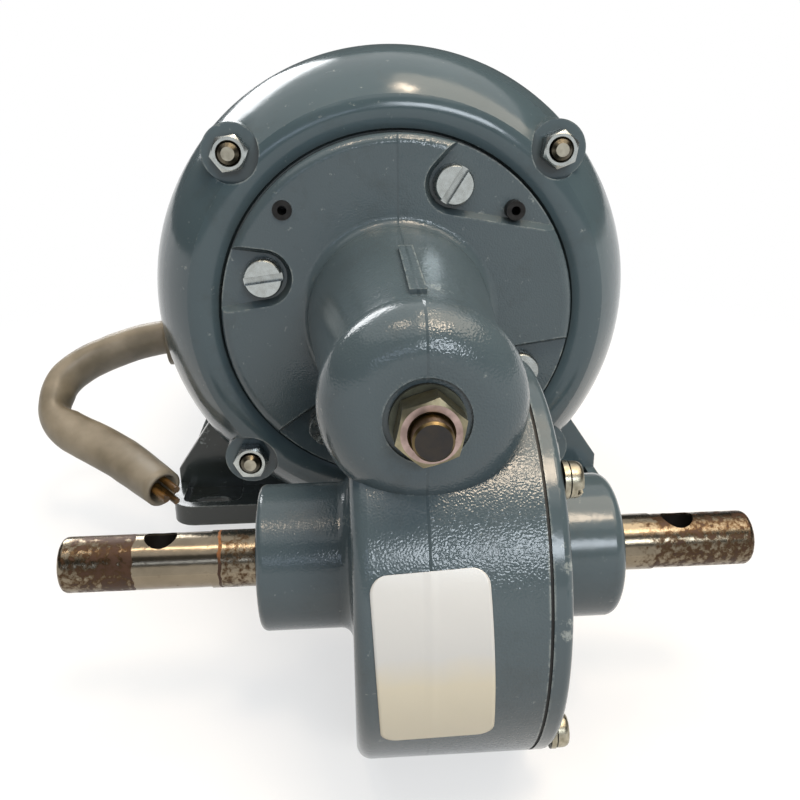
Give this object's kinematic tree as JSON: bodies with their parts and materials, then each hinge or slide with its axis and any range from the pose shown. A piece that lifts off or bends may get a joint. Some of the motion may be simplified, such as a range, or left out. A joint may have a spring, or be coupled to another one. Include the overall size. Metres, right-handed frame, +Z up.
{
  "type": "gear motor",
  "caption": "Foot-mounted electric gear motor with a domed motor, a worm gearbox on its front, a through output shaft with cross holes, slotted feet and a short cable sleeve.",
  "frame": {"origin": "centre of the foot bolt pattern, on the plane the feet stand on", "axes": "+X along the output shaft, +Y from the gearbox to the motor's rear end, +Z up from the feet to the motor axis"},
  "size_m": [0.1844, 0.2438, 0.1493],
  "materials": {
    "paint": "gloss blue-grey enamel on castings",
    "shaft_steel": "ground steel, rust-stained at the ends",
    "zinc_steel": "bright zinc plate",
    "dark_steel": "blackened steel",
    "plain_steel": "machined steel",
    "bronze": "cast bronze, machined",
    "black_rubber": "black rubber",
    "core_steel": "stacked electrical steel",
    "copper_winding": "varnished copper wire",
    "cast_aluminium": "die-cast aluminium",
    "grey_pvc": "warm grey soft sleeve",
    "wire_brown": "wire insulation"
  },
  "bodies": {
    "housing": {"gear_housing": "paint", "gear_cover": "paint", "front_shield": "paint", "rear_shield": "paint", "stator_housing": "paint", "foot_left": "paint", "foot_right": "paint", "cover_screws": "zinc_steel", "cover_washers": "zinc_steel", "flange_screws": "zinc_steel", "adjuster_nut": "zinc_steel", "adjuster_washer": "zinc_steel", "tie_studs": "zinc_steel", "front_tie_nuts": "zinc_steel", "rear_tie_nuts": "zinc_steel", "foot_screws": "zinc_steel", "adjuster_screw": "dark_steel", "locating_pins": "dark_steel", "front_bearing_outer": "plain_steel", "rear_bearing_outer": "plain_steel", "wave_washer": "plain_steel", "worm_bush": "bronze", "output_bush_left": "bronze", "output_bush_right": "bronze", "thrust_washers": "bronze", "motor_seal": "black_rubber", "output_seal_left": "black_rubber", "output_seal_right": "black_rubber", "cable_grommet": "black_rubber", "cover_gasket": "black_rubber", "stator_core": "core_steel", "stator_winding": "copper_winding", "cable_sleeve": "grey_pvc", "lead_wires": "wire_brown"},
    "rotor": {"rotor_shaft": "plain_steel", "worm": "plain_steel", "worm_pin": "plain_steel", "thrust_ball": "plain_steel", "rotor_core": "core_steel", "rotor_end_rings": "cast_aluminium", "front_bearing_inner": "plain_steel", "rear_bearing_inner": "plain_steel"},
    "output": {"output_shaft": "shaft_steel", "wheel_key": "plain_steel", "wheel_hub": "plain_steel", "spacer_sleeve": "plain_steel", "worm_wheel": "bronze"}
  },
  "joints": [
    {"name": "rotor_spin", "type": "hinge", "parent": "housing", "child": "rotor", "pos_m": [0, 0, 0.071], "axis": [0, 1, 0], "continuous": true},
    {"name": "output_spin", "type": "hinge", "parent": "housing", "child": "output", "pos_m": [0, -0.1215, 0.028], "axis": [1, 0, 0], "continuous": true}
  ],
  "couplings": [
    {"joint": "output_spin", "follows": "rotor_spin", "ratio": 0.018182}
  ]
}
